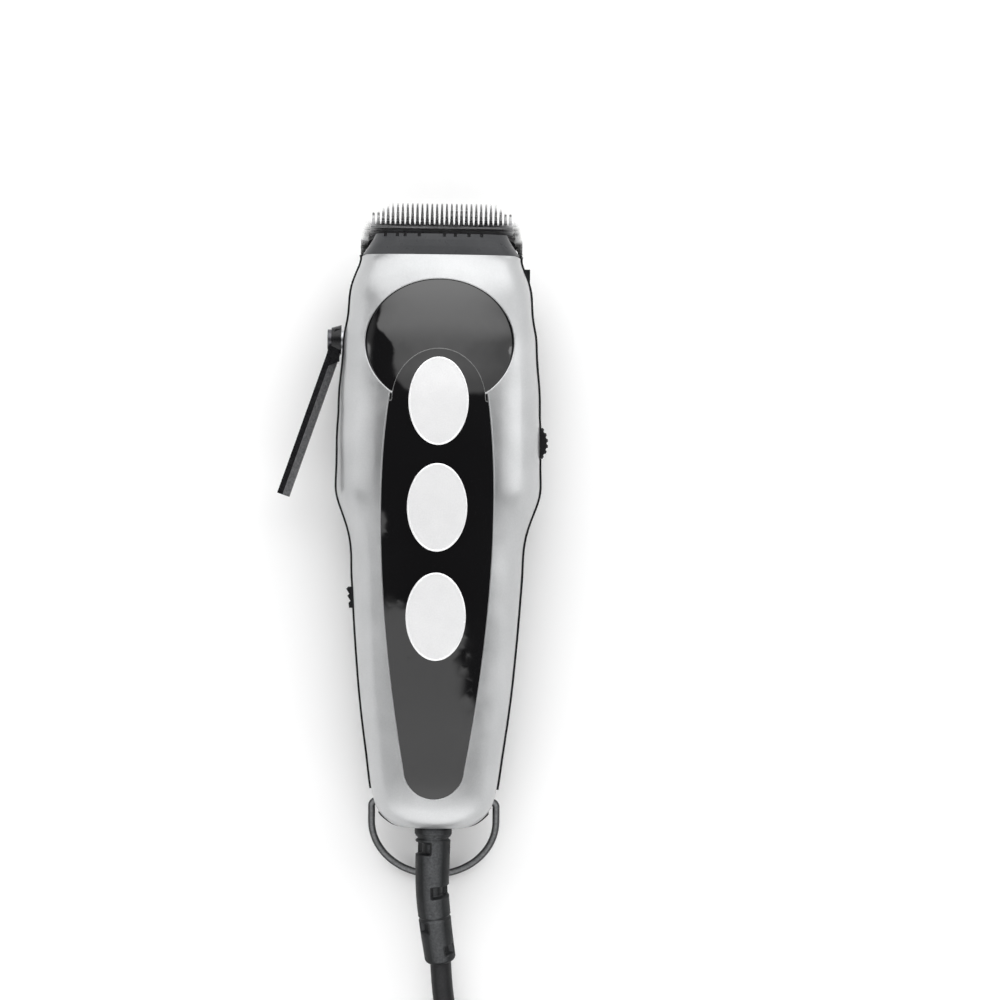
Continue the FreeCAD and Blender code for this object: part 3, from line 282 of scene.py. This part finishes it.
# metals: dark and light tone, roughness range, stretch of the grinding lines, their depth
metalSets = {
    "blade_steel": ((0.70, 0.70, 0.70), (0.93, 0.93, 0.92), (0.12, 0.30),
                    (60.0, 2600.0, 2600.0), 0.000010),
    "cutter_steel": ((0.44, 0.44, 0.45), (0.74, 0.74, 0.74), (0.20, 0.36),
                     (60.0, 2400.0, 2400.0), 0.000012),
    "zinc_steel": ((0.50, 0.51, 0.53), (0.68, 0.69, 0.70), (0.28, 0.45),
                   (700.0, 700.0, 700.0), 0.000012),
    "screw_steel": ((0.55, 0.55, 0.56), (0.75, 0.75, 0.76), (0.20, 0.36),
                    (900.0, 900.0, 300.0), 0.000012),
    "spring_steel": ((0.38, 0.38, 0.40), (0.60, 0.60, 0.62), (0.22, 0.38),
                     (1400.0, 1400.0, 1400.0), 0.000008),
    "dark_screw": ((0.05, 0.05, 0.055), (0.16, 0.16, 0.17), (0.30, 0.46),
                   (900.0, 900.0, 300.0), 0.000012),
    "pin_metal": ((0.66, 0.63, 0.57), (0.86, 0.84, 0.78), (0.12, 0.28),
                  (1800.0, 200.0, 1800.0), 0.000008),
}


def makeMetal(slotName, values):
    dark, light, roughness, stretch, depth = values
    finish, tree, shader, place = startFinish(slotName + "Finish")
    lines = grain(tree, scaled(tree, place, stretch), 1.0, 4.0, 0.6)
    spots = grain(tree, place, 170.0, 3.0)
    share = ranged(tree, summed(tree, lines, spots, 0.5), 0.0, 1.0, 0.5, 1.0)
    painted(tree, shader, blended(tree, share, dark, light), ranged(tree, lines, *roughness))
    shader.inputs["Metallic"].default_value = 1.0
    raised(tree, shader, lines, depth, 0.5)
    return finish


# enamel and coated wire: tones, roughness range, grain size, grain depth, metallic share
enamelSets = {
    "black_lever": ((0.004, 0.004, 0.0045), (0.014, 0.014, 0.015), (0.20, 0.30),
                    1500.0, 0.000020, 0.0),
    "loop_wire": ((0.012, 0.013, 0.014), (0.030, 0.031, 0.033), (0.36, 0.50),
                  2900.0, 0.000035, 0.0),
    "silver_oval": ((0.68, 0.68, 0.685), (0.77, 0.77, 0.775), (0.34, 0.46), 3600.0, 0.000006, 0.15),
    # lip bead: grey far paler than the black strip it belongs to, a painted highlight along the lip
    "lip_gloss": ((0.10, 0.10, 0.10), (0.16, 0.16, 0.16), (0.10, 0.18), 900.0, 0.000004, 0.2),
    # oval rings: silver paler than the ovals themselves; the rounded bead catches real light, and
    # the extra paleness is a painted highlight
    "edge_silver": ((0.86, 0.86, 0.87), (0.95, 0.95, 0.95), (0.18, 0.28), 2400.0, 0.000006, 0.35),
}


def makeEnamel(slotName, values):
    dark, light, roughness, size, depth, metallic = values
    finish, tree, shader, place = startFinish(slotName + "Finish")
    fine = grain(tree, place, size, 3.0, 0.6)
    share = ranged(tree, summed(tree, fine, grain(tree, place, 150.0), 0.4), 0.0, 1.0, 0.5, 0.95)
    painted(tree, shader, paintedHighlight(tree, place, blended(tree, share, dark, light), slotName),
            ranged(tree, grain(tree, place, 500.0), *roughness))
    if dark[1] < 0.1:
        shader.inputs["Specular IOR Level"].default_value = 0.2
    shader.inputs["Metallic"].default_value = metallic
    shader.inputs["Coat Weight"].default_value = 0.25 if dark[1] > 0.1 else 0.1
    shader.inputs["Coat Roughness"].default_value = 0.18
    raised(tree, shader, fine, depth, 0.6)
    return finish


# stacked sheets and wound wire: tones, pitch of the layers, their axis, depth
layerSets = {
    "laminations": ((0.09, 0.09, 0.10), (0.36, 0.37, 0.39), 0.0005, "Z", 0.00006),
    "copper_wire": ((0.33, 0.12, 0.045), (0.80, 0.40, 0.20), 0.00035, "X", 0.00010),
}


def makeLayers(slotName, values):
    dark, light, pitch, direction, depth = values
    finish, tree, shader, place = startFinish(slotName + "Finish")
    rows = bands(tree, place, 0.05 / pitch * 2 * math.pi, direction, 0.4)
    share = ranged(tree, summed(tree, rows, grain(tree, place, 400.0), 0.5), 0.0, 1.0, 0.2, 1.2)
    painted(tree, shader, blended(tree, share, dark, light),
            ranged(tree, grain(tree, place, 700.0), 0.28, 0.48))
    shader.inputs["Metallic"].default_value = 0.85
    raised(tree, shader, rows, depth, 0.7)
    return finish


finishes = {"silver_paint": makeSilverPaint("silverLacquer", silverSet),
            "gloss_black": makePianoBlack("pianoBlack", pianoSet)}
for makeOne, table in ((makePlastic, plasticSets), (makeMetal, metalSets),
                       (makeEnamel, enamelSets), (makeLayers, layerSets)):
    for slotName, oneSet in table.items():
        finishes[slotName] = makeOne(slotName, oneSet)
for part in frame["record"]["subparts"]:
    for slot in nodes[part["node"]].material_slots:
        slot.material = finishes[part["material_slot"]]
print("finishes on", len(nodes), "nodes")


# mains cord, in millimetres: out of the sleeve, down to the floor, round the coil, to the plug
cordSet = {
    "radius": 3.0,
    "start": [(2.5, -120.1, 9.1), (3.0, -129.3, 6.3), (5.2, -140.0, 4.2), (10.6, -149.6, 3.3),
              (18.2, -158.0, 3.05), (26.4, -166.4, 3.05)],
    "tail": [(42.3, -208.1, 9.2), (40.4, -223.2, 8.6), (36.5, -239.4, 5.3), (28.1, -253.4, 4.0),
             (15.4, -262.2, 5.2), (1.6, -265.2, 6.7)],
    "coilCentre": (0.0, -200.6),
    "ringRadii": [43.1, 37.0, 30.9, 24.8, 24.8, 30.9, 37.0, 43.1],
    "ringHeights": [3.05, 3.05, 3.05, 3.05, 9.15, 9.15, 9.15, 9.15],
    # where the cord steps to its next ring, in degrees from each full turn
    "crossings": [-60.0, -60.0, -60.0, -100.0, -140.0, -140.0, -140.0],
    "crossingWide": 50.0,
    "startAngle": 52.3,
    "turned": 2582.3,
    "pointCount": 115,
    "length": 1.66,
}


def eased(value):
    value = min(1.0, max(0.0, value))
    return value * value * (3 - 2 * value)


def coilPoints(values):
    points = []
    half = values["crossingWide"] / 2
    for index in range(1, values["pointCount"]):
        travelled = values["turned"] * index / values["pointCount"]
        radius = values["ringRadii"][0]
        height = values["ringHeights"][0]
        for turn, before in enumerate(values["crossings"], 1):
            share = eased((travelled - (360.0 * turn + before - half)) / (2 * half))
            radius += share * (values["ringRadii"][turn] - values["ringRadii"][turn - 1])
            height += share * (values["ringHeights"][turn] - values["ringHeights"][turn - 1])
        angle = math.radians(values["startAngle"] - travelled)
        points.append((values["coilCentre"][0] + radius * math.cos(angle),
                       values["coilCentre"][1] + radius * math.sin(angle), height))
    return points


def makeCord(values):
    points = values["start"] + coilPoints(values) + values["tail"]
    curve = bpy.data.curves.new("cordLine", "CURVE")
    curve.dimensions = "3D"
    curve.bevel_depth = values["radius"] * millimetre
    curve.bevel_resolution = 6
    curve.resolution_u = 6
    curve.use_fill_caps = True
    spline = curve.splines.new("NURBS")
    spline.points.add(len(points) - 1)
    for place, point in zip(spline.points, points):
        place.co = (point[0] * millimetre, point[1] * millimetre, point[2] * millimetre, 1)
    spline.order_u = 3
    spline.use_endpoint_u = True
    curve.materials.append(finishes["cord_sheath"])
    cord = bpy.data.objects.new("mainsCord", curve)
    bpy.context.collection.objects.link(cord)
    return cord


mainsCord = makeCord(cordSet)
print("cord laid")


# helpers that turn built shapes into finished pieces
def finishedPiece(name, shape, finish, smooth=True):
    mesh = bpy.data.meshes.new(name)
    bmesh.ops.recalc_face_normals(shape, faces=shape.faces)
    shape.to_mesh(mesh)
    shape.free()
    for face in mesh.polygons:
        face.use_smooth = smooth
    mesh.materials.append(finish)
    piece = bpy.data.objects.new(name, mesh)
    bpy.context.collection.objects.link(piece)
    return piece


def sharpRuns(nodeName, wanted):
    shape = bmesh.new()
    shape.from_mesh(nodes[nodeName].data)
    bmesh.ops.remove_doubles(shape, verts=shape.verts, dist=2e-6)
    edges = []
    for edge in shape.edges:
        if len(edge.link_faces) != 2:
            continue
        first, second = (face.normal for face in edge.link_faces)
        if first.z < second.z:
            first, second = second, first
        middle = (edge.verts[0].co + edge.verts[1].co) / 2
        if first.z > 0.55 and abs(second.z) < 0.3 and wanted(middle, second):
            edges.append((edge.verts[0].co.copy(), edge.verts[1].co.copy(), second.copy()))
    shape.free()
    return edges


def pathObject(name, edges, shift, lift):
    # the runs as one wire mesh, moved outwards along the wall's own direction
    mesh = bpy.data.meshes.new(name)
    shape = bmesh.new()
    for first, second, away in edges:
        flat = Vector((away.x, away.y, 0)).normalized() * shift + Vector((0, 0, lift))
        shape.edges.new((shape.verts.new(first - flat), shape.verts.new(second - flat)))
    bmesh.ops.remove_doubles(shape, verts=shape.verts, dist=0.00012)
    shape.to_mesh(mesh)
    shape.free()
    piece = bpy.data.objects.new(name, mesh)
    bpy.context.collection.objects.link(piece)
    return piece


def socketOf(tree, name):
    for item in tree.interface.items_tree:
        if item.name == name:
            return item.identifier


def beadTree(finish):
    # round bead along a path
    tree = bpy.data.node_groups.new("beadAlongPath", "GeometryNodeTree")
    tree.interface.new_socket("Path", in_out="INPUT", socket_type="NodeSocketGeometry")
    tree.interface.new_socket("Bead radius", in_out="INPUT", socket_type="NodeSocketFloat")
    tree.interface.new_socket("Step", in_out="INPUT", socket_type="NodeSocketFloat")
    tree.interface.new_socket("Bead", in_out="OUTPUT", socket_type="NodeSocketGeometry")
    start = tree.nodes.new("NodeGroupInput")
    end = tree.nodes.new("NodeGroupOutput")
    line = tree.nodes.new("GeometryNodeMeshToCurve")
    even = tree.nodes.new("GeometryNodeResampleCurve")
    even.mode = "LENGTH"
    ring = tree.nodes.new("GeometryNodeCurvePrimitiveCircle")
    ring.inputs["Resolution"].default_value = 10
    sweep = tree.nodes.new("GeometryNodeCurveToMesh")
    shade = tree.nodes.new("GeometryNodeSetShadeSmooth")
    real = tree.nodes.new("GeometryNodeRealizeInstances")
    coat = tree.nodes.new("GeometryNodeSetMaterial")
    coat.inputs["Material"].default_value = finish
    tree.links.new(start.outputs["Path"], line.inputs[0])
    tree.links.new(line.outputs[0], even.inputs["Curve"])
    tree.links.new(start.outputs["Step"], even.inputs["Length"])
    tree.links.new(start.outputs["Bead radius"], ring.inputs["Radius"])
    tree.links.new(even.outputs[0], sweep.inputs["Curve"])
    tree.links.new(ring.outputs[0], sweep.inputs["Profile Curve"])
    tree.links.new(sweep.outputs[0], shade.inputs[0])
    tree.links.new(shade.outputs[0], real.inputs[0])
    tree.links.new(real.outputs[0], coat.inputs["Geometry"])
    tree.links.new(coat.outputs[0], end.inputs["Bead"])
    return tree


def rowTree(finish):
    # copies of one small shape in an even row
    tree = bpy.data.node_groups.new("evenRow", "GeometryNodeTree")
    tree.interface.new_socket("Shape", in_out="INPUT", socket_type="NodeSocketGeometry")
    tree.interface.new_socket("Count", in_out="INPUT", socket_type="NodeSocketInt")
    tree.interface.new_socket("Step", in_out="INPUT", socket_type="NodeSocketVector")
    tree.interface.new_socket("Row", in_out="OUTPUT", socket_type="NodeSocketGeometry")
    start = tree.nodes.new("NodeGroupInput")
    end = tree.nodes.new("NodeGroupOutput")
    line = tree.nodes.new("GeometryNodeMeshLine")
    line.mode = "OFFSET"
    place = tree.nodes.new("GeometryNodeInstanceOnPoints")
    real = tree.nodes.new("GeometryNodeRealizeInstances")
    coat = tree.nodes.new("GeometryNodeSetMaterial")
    coat.inputs["Material"].default_value = finish
    tree.links.new(start.outputs["Count"], line.inputs["Count"])
    tree.links.new(start.outputs["Step"], line.inputs["Offset"])
    tree.links.new(line.outputs[0], place.inputs["Points"])
    tree.links.new(start.outputs["Shape"], place.inputs["Instance"])
    tree.links.new(place.outputs[0], real.inputs[0])
    tree.links.new(real.outputs[0], coat.inputs["Geometry"])
    tree.links.new(coat.outputs[0], end.inputs["Row"])
    return tree


def throughNodes(piece, tree, values):
    # runs the tree once and keeps its result as a plain mesh
    modifier = piece.modifiers.new("build", "NODES")
    modifier.node_group = tree
    for name, value in values.items():
        modifier[socketOf(tree, name)] = value
    bpy.context.view_layer.update()
    ready = piece.evaluated_get(bpy.context.evaluated_depsgraph_get())
    mesh = bpy.data.meshes.new_from_object(ready)
    piece.modifiers.remove(modifier)
    piece.data = mesh
    shape = bmesh.new()
    shape.from_mesh(mesh)
    bmesh.ops.recalc_face_normals(shape, faces=shape.faces)
    shape.to_mesh(mesh)
    shape.free()
    return piece


# thin rounded edges: the frame of the black panel, the rings of the ovals, the strip's lip
edgeSet = {
    "frameRadius": 0.00023,
    "ringRadius": 0.00026,
    "lipRadius": 0.00016,
    "step": 0.0006,
    "frameShift": (0.00016, 0.00016),    # how far each bead sits inwards and down from its edge
    "ringShift": (0.00010, 0.00010),
    "lipShift": (0.00008, 0.00010),
    "archY": 0.0388,
    "archHalf": (0.0132, 0.0148),
}


def nearEllipse(point, centreY, half):
    return math.hypot(point.x / half[0], (point.y - centreY) / half[1])


def onPanelEdge(middle, away):
    return abs(middle.x) < 0.0222 and -0.0755 < middle.y < 0.0745 and middle.z > 0.024


def onOvalEdge(middle, away):
    return middle.z > 0.0285


def onLip(middle, away):
    arch = nearEllipse(middle, edgeSet["archY"], edgeSet["archHalf"])
    return middle.y > edgeSet["archY"] and 0.93 < arch < 1.07


def makeEdge(name, nodeName, wanted, kind, finish):
    edge = pathObject(name, sharpRuns(nodeName, wanted), *edgeSet[kind + "Shift"])
    throughNodes(edge, beadTree(finishes[finish]),
                 {"Bead radius": edgeSet[kind + "Radius"], "Step": edgeSet["step"]})
    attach(edge, "housing")
    return edge


panelFrame = makeEdge("panelFrameEdge", "front_shell", onPanelEdge, "frame",
                      "silver_paint")
# oval ring beads: silver edge with a painted highlight in its paler tone
for number in (1, 2, 3):
    makeEdge(f"ovalRing{number}", f"oval_insert_{number}", onOvalEdge, "ring",
             "edge_silver")
# the lip bead carries a painted highlight: a grey line on the black strip
stripLip = makeEdge("stripLip", "inlay_panel", onLip, "lip", "lip_gloss")
print("panel edges:", len(panelFrame.data.polygons), len(stripLip.data.polygons), "faces")


# rubber sleeve at the tail: its line, thickness, grooves and staggered slots, in millimetres
sleeveSet = {
    "line": [(0, -77.2, 18.0), (0, -81.8, 18.0), (-0.1, -92.0, 17.2), (0.0, -101.0, 15.2),
             (1.1, -110.8, 12.3), (2.5, -120.1, 9.1)],
    "radii": (5.02, 4.4),
    "ringStep": 0.25,
    "around": 96,
    "collar": (2.0, 0.28),                     # length, how far it stands out
    "grooves": [(3.0, 0.55, 0.7), (26.0, 0.55, 0.75)],      # place, half width, depth
    "slots": [(4.3, 7.4, 98.0, 205.0, 1.9), (16.4, 19.7, -20.0, 92.0, 1.9),
              (27.0, 29.9, 118.0, 168.0, 1.7), (34.4, 36.9, 18.0, 62.0, 1.5)],
    "pits": [(2.6, 84.0), (8.8, 108.0), (13.6, 98.0), (15.4, 94.0), (24.2, 100.0)],
    "inside": 4.6,         # length hidden in the housing
    "endRound": 1.2,
}


def smoothLine(points, step):
    # even points along a smooth curve through the given ones
    line = [Vector(points[0])]
    padded = [points[0]] + points + [points[-1]]
    for index in range(1, len(padded) - 2):
        a, b, c, d = (Vector(p) for p in padded[index - 1:index + 3])
        for part in range(1, 41):
            t = part / 40
            spot = 0.5 * (2 * b + (c - a) * t + (2 * a - 5 * b + 4 * c - d) * t * t
                          + (3 * b - a - 3 * c + d) * t ** 3)
            line.append(spot)
    lengths = [0.0]
    for first, second in zip(line, line[1:]):
        lengths.append(lengths[-1] + (second - first).length)
    count = int(lengths[-1] / step)
    even = []
    spot = 0
    for index in range(count + 1):
        wanted = lengths[-1] * index / count
        while lengths[spot + 1] < wanted - 1e-9:
            spot += 1
        share = (wanted - lengths[spot]) / (lengths[spot + 1] - lengths[spot])
        even.append((wanted, line[spot].lerp(line[spot + 1], share)))
    return even


def windowed(value, low, high, soft):
    return eased((value - low) / soft + 0.5) * eased((high - value) / soft + 0.5)


def sleeveRadius(values, along, angle, whole):
    share = max(0.0, along) / whole
    radius = values["radii"][0] + (values["radii"][1] - values["radii"][0]) * share
    radius += values["collar"][1] * windowed(along, 0.3, values["collar"][0], 0.4)
    sideways = abs(math.cos(math.radians(angle)))
    for place, half, depth in values["grooves"]:
        radius -= depth * max(0.0, 1 - abs(along - place) / half) * (0.25 + 0.75 * sideways ** 1.5)
    for low, high, turnLow, turnHigh, depth in values["slots"]:
        middle = (turnLow + turnHigh) / 2
        offset = (angle - middle + 180) % 360 - 180
        lengthways = windowed(along, low, high, 0.45)
        crossways = windowed(offset, turnLow - middle, turnHigh - middle, 7)
        radius -= depth * lengthways * crossways
    for place, turn in values["pits"]:
        offset = ((angle - turn + 180) % 360 - 180) * 0.088
        radius -= 0.22 * max(0.0, 1 - math.hypot(along - place, offset) / 0.5)
    return radius


def makeSleeve(values):
    line = smoothLine(values["line"], values["ringStep"])
    shape = bmesh.new()
    rings = []
    whole = line[-1][0] - values["inside"]
    for index, (travelled, spot) in enumerate(line):
        before = line[max(0, index - 1)][1]
        after = line[min(len(line) - 1, index + 1)][1]
        forward = (after - before).normalized()
        side = Vector((1, 0, 0)) - forward * forward.x
        side.normalize()
        up = side.cross(forward) * -1
        if up.z < 0:
            up.negate()
        fromEnd = line[-1][0] - travelled
        short = max(0.0, values["endRound"] - fromEnd)
        rounding = values["endRound"] - math.sqrt(max(0.0, values["endRound"] ** 2 - short ** 2))
        ring = []
        for step in range(values["around"]):
            angle = 360 * step / values["around"]
            radius = sleeveRadius(values, travelled - values["inside"], angle, whole) - rounding
            turn = math.radians(angle)
            outwards = side * math.cos(turn) + up * math.sin(turn)
            ring.append(shape.verts.new((spot + outwards * radius) * millimetre))
        rings.append(ring)
    for first, second in zip(rings, rings[1:]):
        for step in range(values["around"]):
            after = (step + 1) % values["around"]
            shape.faces.new((first[step], first[after], second[after], second[step]))
    shape.faces.new(rings[0])
    shape.faces.new(rings[-1])
    return finishedPiece("cordSleeve", shape, finishes["relief_rubber"])


cordSleeve = makeSleeve(sleeveSet)
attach(cordSleeve, "housing")
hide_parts("strain_relief")
print("sleeve made:", len(cordSleeve.data.polygons), "faces")


# grip ribs on both flat sides of the plug
plugSet = {
    "ribs": 6,
    "firstRib": 16.0,      # from the plug's cord end
    "ribStep": 2.6,
    "ribLong": 15.0,
    "ribHigh": 0.55,
    "ribHalf": 0.7,
    "start": (1.6, -265.2, 6.7),
    "heading": (-0.97718, -0.21243, 0.0),
    "halfHigh": 6.35,
}


def ribShape(centre, across, forward, up, values):
    # low half-round rib with rounded ends
    shape = bmesh.new()
    rings = []
    for index in range(13):
        place = -1 + 2 * index / 12
        fade = math.sqrt(max(0.02, 1 - abs(place) ** 6))
        ring = []
        for step in range(9):
            turn = math.pi * step / 8
            spot = (centre + across * place * values["ribLong"] / 2
                    + forward * math.cos(turn) * values["ribHalf"] * fade
                    + up * (math.sin(turn) * values["ribHigh"] * fade - 0.25))
            ring.append(shape.verts.new(spot * millimetre))
        rings.append(ring)
    for first, second in zip(rings, rings[1:]):
        for step in range(8):
            shape.faces.new((first[step], first[step + 1], second[step + 1], second[step]))
        shape.faces.new((first[8], first[0], second[0], second[8]))
    shape.faces.new(rings[0])
    shape.faces.new(rings[-1])
    return shape


forward = Vector(plugSet["heading"])
for name, upwards in (("plugRibsTop", 1), ("plugRibsUnder", -1)):
    up = Vector((0, 0, upwards))
    across = forward.cross(up)
    centre = Vector(plugSet["start"]) + forward * plugSet["firstRib"] + up * plugSet["halfHigh"]
    oneRib = ribShape(centre, across, forward, up, plugSet)
    ribs = finishedPiece(name, oneRib, finishes["plug_rubber"])
    ribStep = tuple(forward * plugSet["ribStep"] * millimetre)
    throughNodes(ribs, rowTree(finishes["plug_rubber"]), {"Count": plugSet["ribs"], "Step": ribStep})
    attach(ribs, "housing")
print("plug ribs made")

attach(mainsCord, "housing")
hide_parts("cord", "cord_coil", "cord_tail")


# plain pale floor and a soft white surround, dark only in a band over the object
studioSet = {
    "floorHalf": 3.0,
    "floorHeight": -0.0002,
    "floorColour": (0.98, 0.98, 0.98),
    "leftLow": 0.27,        # level of the low surround on the left and on the right
    "rightLow": 0.72,
    "headLevels": (0.7, 2.6),
    "tailLevels": (0.85, 1.9),
    "bandLevel": 0.03,
    "bandFrom": -0.229,     # the dark band's two edges, as the share of a direction along +Y
    "bandSlant": 0.05,      # how much the first edge slants across
    "bandTo": 0.205,
    "headSoft": 0.012,      # how soft its edges are
    "tailSoft": 0.006,
    "lowSoft": 0.16,
    "bandLow": 0.50,        # how high it starts
    "wedgeSlope": 2.9,      # the band's slanting corner towards the head, on the left
    "wedgeFrom": 0.36,      # where that corner starts and ends
    "wedgeTo": 0.42,
    # name, place, size, power
    "lights": [("leftSoft", (-1.5, 0.15, 0.42), (0.5, 1.4), 3.0),
               ("rightSoft", (1.5, 0.15, 0.42), (0.5, 1.4), 4.0)],
    "aim": (0.0, 0.0, 0.02),
}


def around(middle, soft):
    return middle - soft, middle + soft


def makeSurround(values):
    world = bpy.data.worlds.new("studioAir")
    bpy.context.scene.world = world
    world.use_nodes = True
    air = world.node_tree
    view = air.nodes.new("ShaderNodeTexCoord")
    split = air.nodes.new("ShaderNodeSeparateXYZ")
    air.links.new(view.outputs["Generated"], split.inputs[0])
    x, y, z = split.outputs
    slant = joined(air, "MULTIPLY_ADD", y, values["wedgeSlope"])
    air.links.new(x, slant.node.inputs[2])
    wedge = ranged(air, slant, 0.0, 1.0, values["wedgeFrom"], values["wedgeTo"])
    head = ranged(air, y, 0.0, 1.0, *around(values["bandTo"], values["headSoft"]))
    head = joined(air, "MULTIPLY", head, wedge)
    head = joined(air, "MULTIPLY", head, ranged(air, y, *values["headLevels"], 0.26, 0.62))
    oblique = joined(air, "MULTIPLY_ADD", x, values["bandSlant"])
    air.links.new(y, oblique.node.inputs[2])
    tail = ranged(air, oblique, 1.0, 0.0, *around(values["bandFrom"], values["tailSoft"]))
    tail = joined(air, "MULTIPLY", tail, ranged(air, y, *values["tailLevels"][::-1], -0.75, -0.25))
    low = ranged(air, z, 1.0, 0.0, values["bandLow"] - values["lowSoft"], values["bandLow"])
    sides = ranged(air, x, values["leftLow"], values["rightLow"], -0.8, 0.8)
    low = joined(air, "MULTIPLY", low, sides)
    level = joined(air, "MAXIMUM", joined(air, "MAXIMUM", head, tail), low)
    level = joined(air, "MAXIMUM", level, values["bandLevel"])
    air.links.new(level, air.nodes["Background"].inputs["Strength"])
    air.nodes["Background"].inputs["Color"].default_value = (1, 1, 1, 1)


def makeStudio(values):
    half = values["floorHalf"]
    shape = bmesh.new()
    corners = ((-half, -half), (half, -half), (half, half), (-half, half))
    shape.faces.new([shape.verts.new((x, y, values["floorHeight"])) for x, y in corners])
    floorFinish, tree, shader, place = startFinish("paleFloor")
    tone = grain(tree, place, 8.0)
    shade = tuple(v * 0.985 for v in values["floorColour"])
    tree.links.new(blended(tree, tone, shade, values["floorColour"]), shader.inputs["Base Color"])
    shader.inputs["Roughness"].default_value = 0.8
    shader.inputs["Specular IOR Level"].default_value = 0.15
    floor = finishedPiece("studioFloor", shape, floorFinish, False)
    makeSurround(values)
    for name, place, size, power in values["lights"]:
        data = bpy.data.lights.new(name, "AREA")
        data.shape = "RECTANGLE"
        data.size, data.size_y = size
        data.energy = power
        light = bpy.data.objects.new(name, data)
        bpy.context.collection.objects.link(light)
        light.location = place
        away = (Vector(place) - Vector(values["aim"])).normalized()
        light.rotation_euler = away.to_track_quat("Z", "Y").to_euler()


makeStudio(studioSet)
bpy.context.scene.view_settings.view_transform = "Standard"
print("studio ready")
